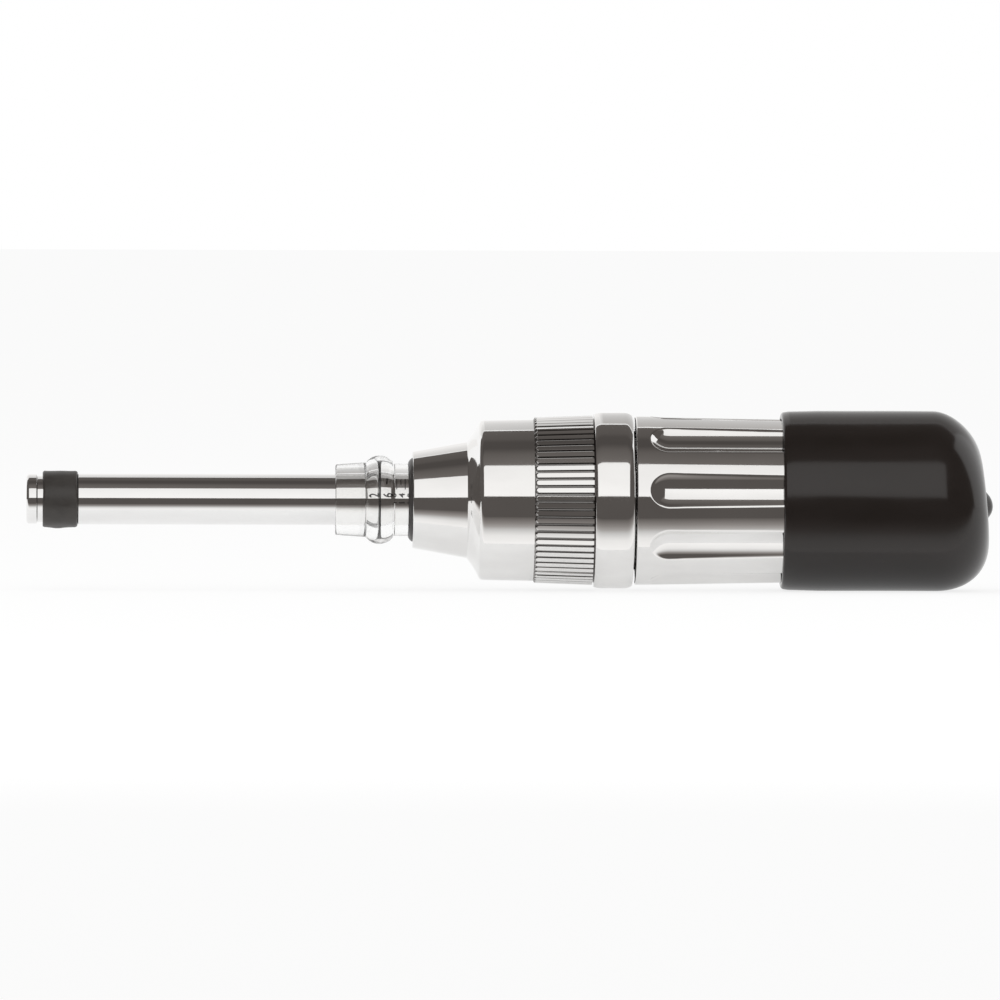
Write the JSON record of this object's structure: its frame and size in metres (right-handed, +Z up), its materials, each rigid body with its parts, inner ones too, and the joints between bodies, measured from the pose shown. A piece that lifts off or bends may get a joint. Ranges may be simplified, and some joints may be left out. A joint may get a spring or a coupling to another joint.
{
  "type": "torque screwdriver",
  "caption": "Micrometer-set torque screwdriver: hex bit socket on a graduated shank, clear scale lens, knurled adjusting sleeve, fluted handle with a soft end cap.",
  "frame": {"origin": "centre of the bit socket's mouth, on the shank's front face", "axes": "+X along the tool from the bit socket to the end cap, +Z up with the tool lying on its side, +Y away from the picture's camera"},
  "size_m": [0.1817, 0.0338, 0.0338],
  "materials": {
    "chrome": "bright chrome plate on turned steel",
    "polished_steel": "polished and plated",
    "plain_steel": "turned, lightly oiled",
    "spring_steel": "blued spring steel",
    "bearing_steel": "ground and polished",
    "bronze": "sintered bronze",
    "clear_plastic": "clear polished acrylic",
    "dark_plastic": "black, satin",
    "black_rubber": "matte moulded rubber",
    "black_vinyl": "dipped vinyl, soft gloss"
  },
  "bodies": {
    "handle": {"handle_barrel": "chrome", "end_cap": "black_vinyl", "end_plug": "plain_steel", "stop_ring": "spring_steel", "pressure_plate": "plain_steel", "plate_key_pins": "bearing_steel", "clutch_balls": "bearing_steel", "thrust_balls": "bearing_steel", "thrust_cage": "bronze", "thrust_race_rear": "bearing_steel", "main_spring": "spring_steel"},
    "shank": {"shank": "polished_steel", "ball_band": "black_rubber", "driven_disc": "plain_steel", "thrust_race_front": "bearing_steel", "shank_clip": "spring_steel"},
    "bit_ball": {"retaining_ball": "bearing_steel"},
    "seat": {"spring_seat": "plain_steel"},
    "sleeve": {"adjusting_sleeve": "chrome", "nose_bush": "bronze", "shank_seal": "black_rubber", "front_thrust_washer": "bronze", "scale_lens": "clear_plastic", "lens_retainer": "dark_plastic"}
  },
  "joints": [
    {"name": "shank_slip", "type": "hinge", "parent": "handle", "child": "shank", "pos_m": [0.11, 0, 0], "axis": [1, 0, 0], "continuous": true},
    {"name": "ball_lift", "type": "slide", "parent": "shank", "child": "bit_ball", "axis": [0, 0, -1], "range_m": [0, 0.0005], "stiffness_N_per_m": 2000, "deforming": ["ball_band"]},
    {"name": "sleeve_travel", "type": "slide", "parent": "handle", "child": "seat", "axis": [1, 0, 0], "range_m": [0, 0.00715], "deforming": ["main_spring"]},
    {"name": "sleeve_turn", "type": "hinge", "parent": "seat", "child": "sleeve", "pos_m": [0.095, 0, 0], "axis": [1, 0, 0], "range_deg": [0, 1620]}
  ],
  "couplings": [
    {"joint": "sleeve_travel", "follows": "sleeve_turn", "m_per_rad": 0.00025266}
  ]
}
